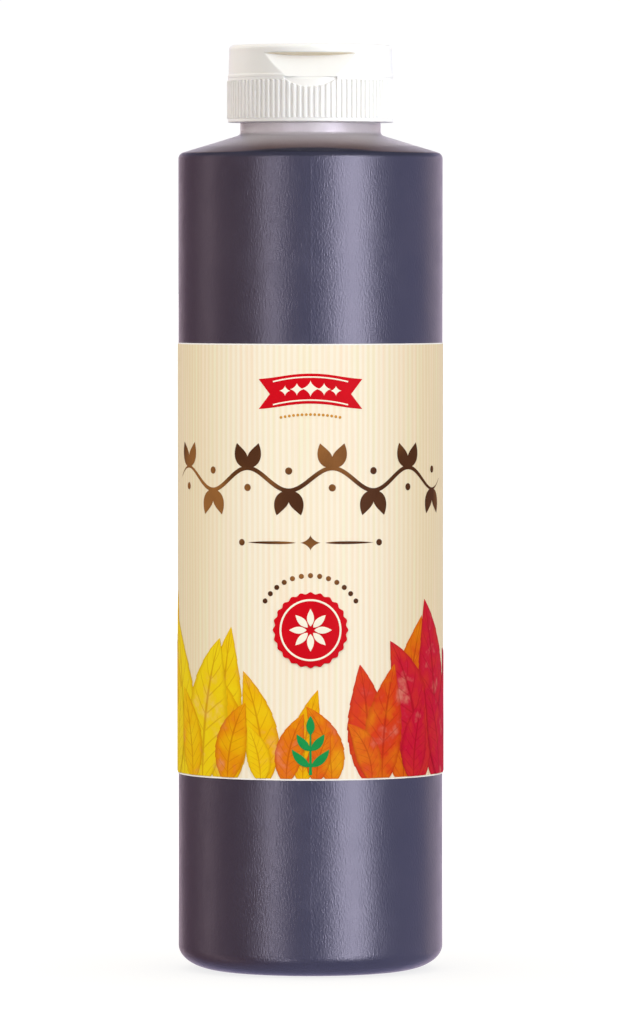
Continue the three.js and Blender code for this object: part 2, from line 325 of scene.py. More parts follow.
def show(name, mesh, material, body, slot, *nodes):
    """Adds a finished mesh to the scene, on its body, in place of the CAD nodes that it stands for.

    A collection of its slot's name keeps it with the pieces of like finish."""
    piece = bpy.data.objects.new(name, mesh)
    bpy.context.scene.collection.objects.link(piece)
    like = bpy.data.collections.get(slot) or bpy.data.collections.new(slot)
    like.objects.link(piece)
    mesh.materials.append(material)
    if nodes:
        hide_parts(*nodes)
    if body:
        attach(piece, body)
    return piece


# Shader nodes


def node(tree, kind, inputs=None, **settings):
    """A shader node with its settings, and each input linked to a socket or set to a value."""
    made = tree.nodes.new(kind)
    for key, value in settings.items():
        setattr(made, key, value)
    for key, value in (inputs or {}).items():
        if isinstance(value, bpy.types.NodeSocket):
            tree.links.new(value, made.inputs[key])
        else:
            made.inputs[key].default_value = value
    return made


def maths(tree, operation, *values, clamp=False):
    """Output of a Math node on sockets or numbers."""
    return node(
        tree, "ShaderNodeMath", dict(enumerate(values)), operation=operation, use_clamp=clamp
    ).outputs[0]


def blended(tree, factor, first, second, blend="MIX"):
    """Output of a colour Mix node. Its factor and colours are the inputs 0, 6 and 7."""
    return node(
        tree,
        "ShaderNodeMix",
        {0: factor, 6: first, 7: second},
        data_type="RGBA",
        blend_type=blend,
    ).outputs[2]


def stepped(tree, value, low, high):
    """0 below low and 1 above high, with a smooth step between."""
    return node(
        tree,
        "ShaderNodeMapRange",
        {"Value": value, "From Min": low, "From Max": high},
        interpolation_type="SMOOTHSTEP",
    ).outputs["Result"]


def off_middle(tree, share):
    """Distance of a share between 0 and 1 from its middle."""
    return maths(tree, "ABSOLUTE", maths(tree, "SUBTRACT", share, 0.5))


def noise(tree, vector, scale, detail=2.0, roughness=0.5):
    """Value of a noise texture, about 0 to 1."""
    inputs = {"Vector": vector, "Scale": scale, "Detail": detail, "Roughness": roughness}
    return node(tree, "ShaderNodeTexNoise", inputs).outputs["Fac"]


def rgba(colour):
    """A colour with an alpha of 1."""
    return (*colour, 1.0)


def object_point(tree):
    """The point in the piece's own coordinates."""
    return node(tree, "ShaderNodeTexCoord").outputs["Object"]


def stretched(tree, vector, scale):
    """A vector scaled on each axis."""
    return node(tree, "ShaderNodeMapping", {"Vector": vector, "Scale": scale}).outputs["Vector"]


def new_material(name):
    """An empty material with its output: (material, node tree, surface socket)."""
    material = bpy.data.materials.new(name)
    material.use_nodes = True
    tree = material.node_tree
    tree.nodes.clear()
    surface = node(tree, "ShaderNodeOutputMaterial").inputs["Surface"]
    return material, tree, surface


def principled(tree, surface, inputs):
    """The material's own shader, linked to its output."""
    shader = node(tree, "ShaderNodeBsdfPrincipled", inputs)
    tree.links.new(shader.outputs["BSDF"], surface)


def bumped(tree, height, distance, strength=1.0):
    """Normal of a Bump node over a height in units of distance."""
    inputs = {"Height": height, "Distance": distance, "Strength": strength}
    return node(tree, "ShaderNodeBump", inputs).outputs["Normal"]


def group_tree(name, inputs, outputs):
    """A shader node group with float or vector inputs and value outputs: (tree, inputs, outputs)."""
    tree = bpy.data.node_groups.new(name, "ShaderNodeTree")
    for label, kind in inputs:
        tree.interface.new_socket(label, in_out="INPUT", socket_type=kind)
    for label, kind in outputs:
        tree.interface.new_socket(label, in_out="OUTPUT", socket_type=kind)
    return tree, node(tree, "NodeGroupInput").outputs, node(tree, "NodeGroupOutput").inputs


def mould_grain_group():
    """Skin of a moulded plastic: fine upright ripples over slow waves, with faint scuffs.

    Height is the ripples plus the waves, and Scuff a patchy mask."""
    tree, given, made = group_tree(
        "mould grain",
        [("Point", "NodeSocketVector"), ("Fineness", "NodeSocketFloat"), ("Upright", "NodeSocketFloat")],
        [("Height", "NodeSocketFloat"), ("Scuff", "NodeSocketFloat")],
    )
    across = node(tree, "ShaderNodeCombineXYZ", {"X": 1.0, "Y": 1.0, "Z": given["Upright"]})
    point = node(
        tree, "ShaderNodeVectorMath", {0: given["Point"], 1: across.outputs[0]}, operation="MULTIPLY"
    ).outputs[0]
    ripples = noise(tree, point, given["Fineness"], detail=0.5)
    waves = noise(tree, given["Point"], maths(tree, "MULTIPLY", given["Fineness"], 0.045), detail=1.0)
    waves = maths(tree, "MULTIPLY", waves, 0.35)
    height = maths(tree, "ADD", maths(tree, "MULTIPLY", ripples, 0.35), waves)
    scuff = stepped(tree, noise(tree, given["Point"], 140.0, detail=4.0, roughness=0.7), 0.42, 0.70)
    tree.links.new(height, made["Height"])
    tree.links.new(scuff, made["Scuff"])
    return tree


def ink_group():
    """Uneven ink: a colour lightened and darkened by soft blotches and a fine tooth."""
    tree, given, made = group_tree(
        "ink tooth",
        [("Point", "NodeSocketVector"), ("Colour", "NodeSocketColor"), ("Depth", "NodeSocketFloat")],
        [("Colour", "NodeSocketColor"), ("Tooth", "NodeSocketFloat")],
    )
    blotch = noise(tree, given["Point"], 160.0, detail=3.0, roughness=0.6)
    tooth = noise(tree, given["Point"], 2600.0, detail=1.0)
    level = maths(tree, "ADD", blotch, maths(tree, "MULTIPLY", tooth, 0.35))
    factor = maths(tree, "MULTIPLY", maths(tree, "SUBTRACT", level, 0.67), given["Depth"])
    shade = maths(tree, "ADD", 1.0, factor)
    grey = node(tree, "ShaderNodeCombineColor", {0: shade, 1: shade, 2: shade}).outputs[0]
    colour = blended(tree, 1.0, given["Colour"], grey, blend="MULTIPLY")
    tree.links.new(colour, made["Colour"])
    tree.links.new(tooth, made["Tooth"])
    return tree


def shared_group(name, maker):
    """The node group of that name, made the first time that it is asked for."""
    return bpy.data.node_groups.get(name) or maker()


def grouped(tree, group, inputs):
    """Outputs of a placed node group with its inputs linked or set."""
    return node(tree, "ShaderNodeGroup", inputs, node_tree=group).outputs


# Bottle and syrup


def shoulder_arc(s, inset, steps):
    """Rounded edge between wall and cone: an arc tangent to both, inset from the outside."""
    cone = math.atan(s.shoulder_slope)
    setback = s.shoulder_round * math.tan((math.pi / 2 - cone) / 2)
    centre = (s.radius - inset - s.shoulder_round, s.shoulder_z - inset - setback)
    return arc(centre, (s.shoulder_round,) * 2, 0, 90 - math.degrees(cone), steps)


def cone_height(s, radius):
    """Height of the shoulder's outside at a radius."""
    return s.shoulder_z + (s.radius - radius) * s.shoulder_slope


def bottle_outline(s):
    """Rows of (radius, height) from under the foot, up the outside, over the rim and down the inside."""
    foot = s.radius - s.heel_reach
    ring = foot - s.ring_width
    cone = math.degrees(math.atan(s.shoulder_slope))
    fillet_rise = s.collar_fillet * math.tan(math.radians(90 - cone) / 2)
    fillet_centre = (s.collar_radius + s.collar_fillet, cone_height(s, s.collar_radius) + fillet_rise)
    collar_centre = (s.collar_radius - s.collar_round, s.collar_top - s.collar_round)
    inner = s.radius - s.wall
    return np.concatenate((
        arc((0, 0), (ring, s.push_up), 90, 0, 14),
        arc((foot, s.heel_rise), (s.heel_reach, s.heel_rise), -90, 0, 20),
        line((s.radius, s.heel_rise), (s.radius, s.shoulder_z), 26)[:-1],
        shoulder_arc(s, 0, 12),
        arc(fillet_centre, (s.collar_fillet,) * 2, 270 - cone, 180, 8),
        arc(collar_centre, (s.collar_round,) * 2, 0, 90, 8),
        [(s.neck_radius, s.collar_top), (s.neck_radius, s.neck_top), (s.neck_bore, s.neck_top)],
        [(s.neck_bore, cone_height(s, s.neck_bore) - s.wall)],
        shoulder_arc(s, s.wall, 10)[::-1],
        arc((foot, s.heel_rise), (inner - foot, s.heel_rise - s.floor), 0, -90, 14),
        arc((0, s.floor), (ring, s.push_up), 0, 90, 10),
    ))


SEAM_SPREAD = 0.22  # degrees to either side in which the mould seam dies away


def bottle_mesh(s):
    """The outline turned about the axis, with a fine raised line at the front and the back of the mould."""
    outline = bottle_outline(s)
    near_seam = np.radians([-0.5, -0.25, 0.25, 0.5])
    columns = np.concatenate((turn_angles(240), near_seam, near_seam + np.pi)) % (2 * np.pi)
    angles = np.unique(columns.round(7))
    from_seam = np.degrees(np.abs((angles + np.pi / 2) % np.pi - np.pi / 2))
    outside = ramp(outline[:, 0], s.radius - 0.5 * MM, s.radius)[:, None]
    seam = s.seam * np.exp(-((from_seam / SEAM_SPREAD) ** 2)) * outside
    return skin("bottle", [turned(outline[:, :1] + seam, outline[:, 1:], angles)])


def syrup_mesh(s):
    """Contents turned about the axis: just into the wall at the side and under the cone, with a small climb
    at the edge of the level surface, which dies away as an exponential."""
    foot = s.radius - s.heel_reach
    ring = foot - s.ring_width
    inset = s.wall - s.into_wall
    floor = s.floor - s.into_wall
    rim_z = s.level + s.meniscus
    rim = s.radius - inset - (rim_z - s.shoulder_z + inset) / s.shoulder_slope
    inwards = np.linspace(0, 1, 24) ** 2
    surface = np.column_stack((rim * (1 - inwards), s.level + s.meniscus * np.exp(-inwards * 14)))
    outline = np.concatenate((
        arc((0, floor), (ring, s.push_up), 90, 0, 10),
        arc((foot, s.heel_rise), (s.heel_reach - inset, s.heel_rise - floor), -90, 0, 14),
        shoulder_arc(s, inset, 16),
        surface,
    ))
    return skin("syrup", [turned(outline[:, :1], outline[:, 1:], turn_angles(192))])


CONE_HAZE_SHADE = 0.6  # share of the haze over syrup kept on the cone, beside the straight wall: painted shade that keeps the cone's edge dark under light from above
CLOUD = (0.35, 0.32, 0.45)  # tone of faint clouds in the plastic


def bottle_plastic(s):
    """Satin natural polyethylene: milky and see-through, hazy blue in front of the syrup. Painted shade: a
    brown band just above its level stands for the shaded neck seen through the wall, and the haze is darker
    on the cone. Painted backlight ends the band lower at the left and right sides."""
    material, tree, surface = new_material("bottle plastic")
    point = object_point(tree)
    grain = grouped(
        tree,
        shared_group("mould grain", mould_grain_group),
        {"Point": point, "Fineness": 2500.0, "Upright": 0.42},
    )
    across, _, height = node(tree, "ShaderNodeSeparateXYZ", {0: point}).outputs
    on_cone = stepped(tree, height, s.shoulder_z - 0.2 * MM, s.shoulder_z + 0.5 * MM)
    # painted backlight: the band drops at the left and right sides, as if lit through from behind
    backlit_drop = maths(tree, "MULTIPLY", maths(tree, "MULTIPLY", across, across), s.backlit_side_drop)
    backlit_drop = maths(tree, "MULTIPLY", backlit_drop, on_cone)
    over_level = maths(tree, "SUBTRACT", maths(tree, "ADD", height, backlit_drop), s.level)
    # painted shade: a brown band just above the level stands for the shaded inside of the neck seen through
    # the wall
    neck_shade_band = stepped(tree, over_level, 0.3 * MM, 1.0 * MM)
    clear = stepped(tree, over_level, 0.6 * MM, s.neck_shade_fade)
    # painted shade: the haze over the syrup is darker on the cone than on the straight wall
    thin = tuple(CONE_HAZE_SHADE * c for c in s.wall_over_syrup)
    haze = blended(tree, on_cone, rgba(s.wall_over_syrup), rgba(thin))
    haze = blended(tree, neck_shade_band, haze, rgba(s.wall_neck_shade))
    haze = blended(tree, clear, haze, rgba(s.wall_over_air))
    cloud = stepped(tree, noise(tree, point, 45.0, detail=3.0), 0.3, 0.75)
    dimmed = blended(tree, maths(tree, "MULTIPLY", cloud, 0.08), haze, rgba(CLOUD))
    rough = maths(tree, "ADD", 0.30, maths(tree, "MULTIPLY", grain["Scuff"], 0.06))
    principled(tree, surface, {
        "Base Color": dimmed,
        "Roughness": rough,
        "IOR": 1.5,
        "Transmission Weight": 0.60,
        "Normal": bumped(tree, grain["Height"], 0.00018),
    })
    return material


def syrup_liquid(s):
    """Thick dark syrup, deep brown with slow cloudy streaks."""
    material, tree, surface = new_material("dark syrup")
    point = stretched(tree, object_point(tree), (1.0, 1.0, 0.35))
    streak = stepped(tree, noise(tree, point, 30.0, detail=3.0), 0.35, 0.75)
    warm = tuple(min(1.0, 1.9 * c) for c in s.syrup_colour)
    principled(tree, surface, {
        "Base Color": blended(tree, streak, rgba(s.syrup_colour), rgba(warm)),
        "Roughness": 0.2,
        "Specular IOR Level": 0.0,
    })
    return material


class SYRUP_OT_bottle(bpy.types.Operator):
    """Builds the blown bottle and the syrup that fills it"""

    bl_idname = "syrup_bottle.bottle"
    bl_label = "Bottle and Syrup"

    def execute(self, context):
        s = context.scene.syrup_bottle_body
        show("bottle_shell", bottle_mesh(s), bottle_plastic(s), BOTTLE_BODY, "bottle_plastic", "bottle")
        show("syrup_fill", syrup_mesh(s), syrup_liquid(s), BOTTLE_BODY, "syrup", "syrup")
        return {"FINISHED"}


# Label and print


LAP_START = math.radians(258)  # angle round the label where the film's end lies
LAP_STEP = math.radians(0.4)  # angle over which the film's cut end rises
LAP_RUN_OUT = (math.radians(9), math.radians(16))  # where the lap sinks back into the film


def lap_height(s, angle):
    """Rise of the film where its end laps over its start, between the faces: a step that runs out slowly."""
    past_lap = (angle - LAP_START) % (2 * np.pi)
    run_out = 1 - ramp(past_lap, *LAP_RUN_OUT)
    return s.lap * ramp(past_lap, 0, LAP_STEP) * run_out


def up_label(s, share):
    """Height at a share of the way up the label."""
    return s.bottom + share * (s.top - s.bottom)


def on_label(s, x, z, lift):
    """Points on the label from x along its wrap, 0 at the front, a height z and a lift off the film."""
    angle = x / s.radius
    radius = s.radius + lap_height(s, angle) + lift
    return np.stack(np.broadcast_arrays(radius * np.sin(angle), -radius * np.cos(angle), z), axis=-1)


def label_mesh(s):
    """A ring of film: four corners of its section turned about the axis, with a small lap at one side."""
    angles = turn_angles(360)
    inner = s.radius - s.thickness
    outside = np.linspace(s.bottom, s.top, 12)
    radius = np.concatenate((np.full_like(outside, s.radius), [inner, inner]))[:, None]
    height = np.concatenate((outside, [s.top, s.bottom]))[:, None]
    lap = lap_height(s, angles) * (radius > inner + 0.5 * s.thickness)
    wrap = (angles + np.pi) % (2 * np.pi) - np.pi
    u, v = np.broadcast_arrays(wrap / (2 * np.pi) + 0.5, (height - s.bottom) / (s.top - s.bottom))
    return skin("label", [turned(radius + lap, height, angles)], ring=True, uvs=[np.stack((u, v), -1)])


def lens(columns):
    """Angles round the thin section of a print: its cosine goes across, and its sine up and down."""
    return np.linspace(0, 2 * np.pi, columns, endpoint=False)


def ribbon(s, x, z, half_width, lift, columns=20):
    """A flat lens carried along a path on the label: the path plus the half width times the cosine of a
    turning angle, across the path, and a lift plus half an ink step times its sine, which closes to nothing
    at both ends."""
    dx, dz = np.gradient(x), np.gradient(z)
    length = np.hypot(dx, dz)
    across = half_width[:, None] * np.cos(lens(columns))
    up = lift + 0.5 * s.ink * np.sin(lens(columns)) * shut_ends(len(x))
    flat_x = x[:, None] - (dz / length)[:, None] * across
    flat_z = z[:, None] + (dx / length)[:, None] * across
    return on_label(s, flat_x, flat_z, up)


def disc(s, x, z, radius, lift, steps=28):
    """A flat round lens on the label: rings from the middle of its front over the rim to the middle of its
    back. radius is one value, or one for each step round the rim."""
    share = np.array([0, 0.5, 0.9, 1.0, 0.9, 0.5, 0])[:, None]
    up = lift + 0.5 * s.ink * np.array([1, 1, 0.8, 0, -0.8, -1, -1])[:, None]
    turn = turn_angles(steps)
    reach = share * np.broadcast_to(radius, (steps,))
    return on_label(s, x + reach * np.cos(turn), z + reach * np.sin(turn), up)


def diamond(s, x, z, wide, tall, lift):
    """A flat diamond with hollow sides: a rim that follows an astroid."""
    turn = turn_angles(32)
    rim_x, rim_z = wide * np.cos(turn) ** 3, tall * np.sin(turn) ** 3
    share = np.array([0, 0.6, 1.0, 0.6, 0])[:, None]
    up = lift + 0.5 * s.ink * np.array([1, 0.9, 0, -0.9, -1])[:, None]
    return on_label(s, x + share * rim_x, z + share * rim_z, up)


def leaf(s, x, z, tilt, bend, length, breadth, lift, cut=0.0, teeth=0, rows=40, columns=16):
    """A pointed leaf and its (along, across) map. Its midrib starts at a tilt from upright and turns evenly
    by bend. Its half width is a sine of the way along, which starts at cut of half a turn, so that a cut
    leaf stands with a broad foot on the label's edge. Teeth swell the rim as a saw of rounded steps."""
    along = np.linspace(0, 1, rows)
    heading = tilt + bend * along
    step = length / (rows - 1)
    path_x = x + step * (np.cumsum(np.sin(heading)) - np.sin(heading[0]))
    path_z = z + step * (np.cumsum(np.cos(heading)) - np.cos(heading[0]))
    swell = np.sin(np.pi * (cut + (1 - cut) * along**0.86)) ** 0.92
    saw = 1 + 0.055 * (0.5 - (along * teeth) % 1.0) * (teeth > 0)
    half = np.abs(0.5 * breadth * swell * saw)
    grid = ribbon(s, path_x, path_z, half, lift, columns)
    u = np.broadcast_to(along[:, None], (rows, columns))
    v = np.broadcast_to(0.5 + 0.5 * np.cos(lens(columns)), (rows, columns))
    return grid, np.stack((u, v), axis=-1)


LEAF_LAYERS = (
    # longest length, breadth over length, widest bend in degrees, share of a step round the label
    (50.0, 0.36, 26, 0.0),
    (39.0, 0.42, 40, 0.5),
    (26.0, 0.46, 52, 0.2),
)


def leaf_bank(s):
    """Autumn leaves that stand on the label's lower edge in three layers. They are tall at the sides of a
    face and low in its middle, and turn from gold on the left to red on the right."""
    draw = np.random.default_rng(11)
    foot = s.bottom + 0.5 * MM
    grids, uvs, tints = [], [], []
    for layer, (longest, stout, widest, shift) in enumerate(LEAF_LAYERS):
        for k in range(s.leaves):
            angle = 2 * np.pi * (k + shift + draw.uniform(-0.2, 0.2)) / s.leaves
            rise = 0.52 + 0.48 * ramp(np.abs(np.sin(angle)), 0.12, 0.85)
            length = longest * rise * draw.uniform(0.9, 1.1) * MM
            bend = math.radians(draw.uniform(0.35, 1.0) * widest * (-1) ** (k + layer))
            breadth = length * stout * draw.uniform(0.9, 1.1)
            lift = s.ink * (0.7 + 1.2 * layer + 0.6 * (k % 2))
            x = angle * s.radius
            grid, uv = leaf(s, x, foot, 0.0, bend, length, breadth, lift, cut=0.12, teeth=9, rows=82)
            grids.append(grid)
            uvs.append(uv)
            tints.append(0.5 + 0.45 * np.sin(angle) + draw.uniform(-0.22, 0.22))
    return skin("leaf bank", grids, uvs=uvs, tints=tints)


def vine(s, middle):
    """A brown vine across one face of the label: a sine for its stem, with leaves and berries in it."""
    along = np.linspace(-1, 1, 160)
    bends, reach, wave = 4, 50 * MM, 3.2 * MM
    leaf_length, leaf_breadth = 8.0 * MM, 4.0 * MM
    berry, berry_drop = 1.05 * MM, 5.6 * MM
    height = up_label(s, 0.690)
    half = 0.62 * MM * (1 - along**6)
    stem = height + wave * np.sin(np.pi * bends * along)
    grids = [ribbon(s, middle + reach * along, stem, half, s.ink, columns=10)]
    for k in range(2 * bends):
        at = (k + 0.5) / bends - 1
        up = np.sign(np.sin(np.pi * bends * at))
        x, z = middle + reach * at, height + wave * up
        for lean in (-1, 1):
            tilt = math.radians(42 * lean) if up > 0 else math.radians(180 - 42 * lean)
            curl = math.radians(-30 * lean * up)
            blade, _ = leaf(s, x, z, tilt, curl, leaf_length, leaf_breadth, s.ink, rows=24, columns=12)
            grids.append(blade)
        grids.append(disc(s, x, z - up * berry_drop, berry, s.ink, steps=16))
    return grids


def rule_and_beads(s, middle):
    """A thin rule with a diamond in its middle, and an arch of beads over the seal."""
    height = up_label(s, 0.545)
    along = np.linspace(0, 1, 24)
    level = np.full_like(along, height)
    half = 0.42 * MM * (1 - along**4) * (1 - (1 - along) ** 8)
    end_reach, end_dot = 20.6 * MM, 0.95 * MM
    arch, bead = 15.6 * MM, 0.75 * MM
    grids = [diamond(s, middle, height, 3.0 * MM, 2.2 * MM, s.ink)]
    for side in (-1, 1):
        x = middle + side * (4.2 + 14.5 * along) * MM
        grids.append(ribbon(s, x, level, half, s.ink, columns=8))
        grids.append(disc(s, middle + side * end_reach, height, end_dot, s.ink, steps=14))
    for turn in np.radians(np.linspace(32, 148, 13)):
        x = middle + arch * math.cos(turn)
        z = seal_height(s) + arch * math.sin(turn)
        grids.append(disc(s, x, z, bead, s.ink, steps=12))
    return grids


def seal_height(s):
    """Height of the seal's middle."""
    return up_label(s, 0.345)


def seal(s, middle):
    """A red round seal with a scalloped rim: the radius plus a small cosine of many turns."""
    rim = 10.6 * MM * (1 + 0.028 * np.cos(24 * turn_angles(144)))
    return [disc(s, middle, seal_height(s), rim, 5.0 * s.ink, steps=144)]


def seal_marks(s, middle):
    """Pale marks on the seal: a thin ring and a rosette of eight petals."""
    turn = np.linspace(0, 2 * np.pi, 97)
    lift = 5.7 * s.ink
    z = seal_height(s)
    ring, heart = 8.6 * MM, 1.1 * MM
    petal_length, petal_breadth = 5.0 * MM, 2.0 * MM
    half = np.full_like(turn, 0.28 * MM)
    grids = [ribbon(s, middle + ring * np.sin(turn), z + ring * np.cos(turn), half, lift, columns=8)]
    for k in range(8):
        tilt = k * math.pi / 4
        x0 = middle + heart * math.sin(tilt)
        z0 = z + heart * math.cos(tilt)
        petal, _ = leaf(s, x0, z0, tilt, 0.0, petal_length, petal_breadth, lift, rows=18, columns=12)
        grids.append(petal)
    return grids


CREST_REACH = 11.8 * MM  # half the length of the crest ribbon


def crest_arch(s, share):
    """Height of the crest ribbon along its length, a shallow parabola."""
    return up_label(s, 0.885) + 1.6 * MM * (1 - share**2)


def crest_ribbon(s, middle):
    """A red ribbon at the head of the label. Its ends are forked: they reach out further the further they
    lie from the middle line."""
    share = np.linspace(-1, 1, 61)[:, None]
    fork, half_height = 3.4 * MM, 4.3 * MM
    across = np.cos(lens(24))
    x = middle + CREST_REACH * share + fork * np.abs(across) * share * np.abs(share) ** 7
    z = crest_arch(s, share) + half_height * across
    up = s.ink * (1 + 0.5 * np.sin(lens(24)) * shut_ends(len(share)))
    return [on_label(s, x, z, up)]


def crest_marks(s, middle):
    """Pale marks on the ribbon: a line along each edge and a row of diamonds."""
    share = np.linspace(-0.92, 0.92, 41)
    half = np.full_like(share, 0.2 * MM)
    lift = 1.8 * s.ink
    grids = []
    for side in (-1, 1):
        z = crest_arch(s, share) + side * 3.3 * MM
        grids.append(ribbon(s, middle + CREST_REACH * share, z, half, lift, columns=8))
    for place, wide in ((-0.62, 1.6), (-0.33, 2.0), (0, 2.6), (0.33, 2.0), (0.62, 1.6)):
        z = crest_arch(s, place)
        grids.append(diamond(s, middle + CREST_REACH * place, z, wide * MM, 0.9 * wide * MM, lift))
    return grids


def crest_dots(s, middle):
    """A gold dotted line under the ribbon, on the same arch."""
    dot, drop = 0.42 * MM, 7.4 * MM
    return [
        disc(s, middle + CREST_REACH * place, crest_arch(s, place) - drop, dot, s.ink, steps=10)
        for place in np.linspace(-0.72, 0.72, 15)
    ]


SPRIG_LEAVES = (
    # height on the stem, degrees from upright, length
    (11.4, 0, 5.6),
    (2.4, 64, 7.4),
    (2.4, -64, 7.4),
    (7.0, 54, 6.2),
    (7.0, -54, 6.2),
)


def sprig(s, middle):
    """A small green sprig: a stem with a leaf at its tip and two pairs at its sides."""
    foot, lift = s.bottom + 1.6 * MM, 4.8 * s.ink
    breadth = 2.4 * MM
    along = np.linspace(0, 1, 16)
    upright = foot + 12 * MM * along
    half = 0.45 * MM * (1 - 0.6 * along)
    grids = [ribbon(s, np.full_like(along, middle), upright, half, lift, columns=8)]
    for height, tilt, length in SPRIG_LEAVES:
        z, lean = foot + height * MM, math.radians(tilt)
        blade, _ = leaf(s, middle, z, lean, -0.5 * lean, length * MM, breadth, lift, rows=24, columns=12)
        grids.append(blade)
    return grids


STRIPE = (0.90, 0.78, 0.55)  # what a stripe of the wood grain lets through


def label_film(s):
    """Satin printed film: cream with fine upright wood grain, deeper between the faces, with a white edge.

    The stripes are a sine round the label. Long thin noise lends them warm and greenish streaks."""
    material, tree, surface = new_material("label film")
    uv = node(tree, "ShaderNodeUVMap", uv_map="print").outputs["UV"]
    sideways, upwards, _ = node(tree, "ShaderNodeSeparateXYZ", {0: uv}).outputs
    twice = maths(tree, "FRACT", maths(tree, "ADD", maths(tree, "MULTIPLY", sideways, 2.0), 0.5))
    off_face = off_middle(tree, twice)
    ground = blended(tree, stepped(tree, off_face, 0.12, 0.35), rgba(s.cream), rgba(s.deep))
    streaks = noise(tree, stretched(tree, uv, (s.stripes * 1.1, 1.6, 1.0)), 1.0, detail=1.0)
    for tone, faint, full, strength in ((s.blush, 0.52, 0.72, 0.55), (s.straw, 0.48, 0.28, 0.40)):
        share = maths(tree, "MULTIPLY", stepped(tree, streaks, faint, full), strength)
        ground = blended(tree, share, ground, rgba(tone))
    phase = maths(tree, "MULTIPLY", sideways, 2 * math.pi * s.stripes)
    wander = maths(tree, "MULTIPLY", noise(tree, stretched(tree, uv, (9.0, 0.8, 1.0)), 1.0), 9.0)
    stripe = maths(tree, "SINE", maths(tree, "ADD", phase, wander))
    share = maths(tree, "MULTIPLY", stepped(tree, stripe, -0.8, 0.8), 0.30)
    grain = blended(tree, share, ground, rgba(STRIPE), blend="MULTIPLY")
    from_edge = maths(tree, "SUBTRACT", 0.5, off_middle(tree, upwards))
    edge = maths(tree, "SUBTRACT", 1.0, stepped(tree, from_edge, 0.0022, 0.0034))
    tooth = noise(tree, object_point(tree), 3000.0, detail=1.0)
    principled(tree, surface, {
        "Base Color": blended(tree, edge, grain, rgba(s.cut_edge)),
        "Roughness": maths(tree, "ADD", 0.52, maths(tree, "MULTIPLY", tooth, 0.12)),
        "Specular IOR Level": 0.12,
        "Normal": bumped(tree, tooth, 0.00001),
    })
    return material


def ink(name, colour, depth, wash=None):
    """Printed ink, slightly uneven. Where a second colour is given, it comes and goes along the print."""
    material, tree, surface = new_material(name)
    point = object_point(tree)
    shade = rgba(colour)
    if wash is not None:
        along = stretched(tree, point, (1.0, 1.0, 0.5))
        wet = stepped(tree, noise(tree, along, 55.0, detail=1.0), 0.42, 0.62)
        shade = blended(tree, wet, rgba(colour), rgba(wash))
    tone = grouped(
        tree,
        shared_group("ink tooth", ink_group),
        {"Point": point, "Colour": shade, "Depth": depth},
    )
    principled(tree, surface, {
        "Base Color": tone["Colour"],
        "Roughness": maths(tree, "ADD", 0.42, maths(tree, "MULTIPLY", tone["Tooth"], 0.16)),
        "Specular IOR Level": 0.02,
    })
    return material


LEAF_PALE = (0.95, 0.72, 0.45)  # paper that shows through thin washes
LEAF_SHADE = (0.62, 0.36, 0.30)  # what rims and veins let through
LEAF_STOPS = (
    # tint from gold to red, colour
    (0.00, (0.88, 0.66, 0.010)),
    (0.28, (0.86, 0.50, 0.003)),
    (0.52, (0.78, 0.22, 0.004)),
    (0.72, (0.70, 0.055, 0.010)),
    (1.00, (0.60, 0.008, 0.040)),
)


def leaf_ink():
    """Water-coloured leaves: gold to red by each leaf's tint, with washes, dark rims and veins."""
    material, tree, surface = new_material("leaf ink")
    point = object_point(tree)
    uv = node(tree, "ShaderNodeUVMap", uv_map="print").outputs["UV"]
    split = node(tree, "ShaderNodeSeparateXYZ", {0: uv}).outputs
    warmth = node(tree, "ShaderNodeAttribute", attribute_name="tint").outputs["Fac"]
    wash = noise(tree, point, 95.0, detail=4.0, roughness=0.62)
    level = maths(tree, "ADD", warmth, maths(tree, "MULTIPLY", maths(tree, "SUBTRACT", wash, 0.5), 0.75))
    ladder = node(tree, "ShaderNodeValToRGB", {0: level})
    steps = ladder.color_ramp.elements
    for _ in LEAF_STOPS[2:]:
        steps.new(0.5)
    for step, (place, colour) in zip(steps, LEAF_STOPS):
        step.position, step.color = place, rgba(colour)
    off_rib = maths(tree, "MULTIPLY", off_middle(tree, split["Y"]), 2.0)
    along = maths(tree, "MULTIPLY", split["X"], 8.0)
    slanted = maths(tree, "SUBTRACT", along, maths(tree, "MULTIPLY", off_rib, 1.5))
    from_vein = off_middle(tree, maths(tree, "FRACT", slanted))
    vein = maths(tree, "SUBTRACT", 1.0, stepped(tree, from_vein, 0.02, 0.08))
    vein = maths(tree, "MULTIPLY", vein, maths(tree, "SUBTRACT", 1.0, stepped(tree, off_rib, 0.6, 0.95)))
    rib = maths(tree, "SUBTRACT", 1.0, stepped(tree, off_rib, 0.02, 0.09))
    lines = maths(tree, "MAXIMUM", rib, maths(tree, "MULTIPLY", vein, 0.7))
    rim = maths(tree, "MULTIPLY", stepped(tree, off_rib, 0.72, 1.0), 0.45)
    thin = maths(tree, "MULTIPLY", stepped(tree, wash, 0.55, 0.85), 0.5)
    pale = blended(tree, thin, ladder.outputs[0], rgba(LEAF_PALE))
    dark = blended(tree, 1.0, ladder.outputs[0], rgba(LEAF_SHADE), blend="MULTIPLY")
    shaded = blended(tree, rim, pale, dark)
    principled(tree, surface, {
        "Base Color": blended(tree, maths(tree, "MULTIPLY", lines, 0.62), shaded, dark),
        "Roughness": maths(tree, "ADD", 0.46, maths(tree, "MULTIPLY", wash, 0.14)),
        "Specular IOR Level": 0.02,
    })
    return material


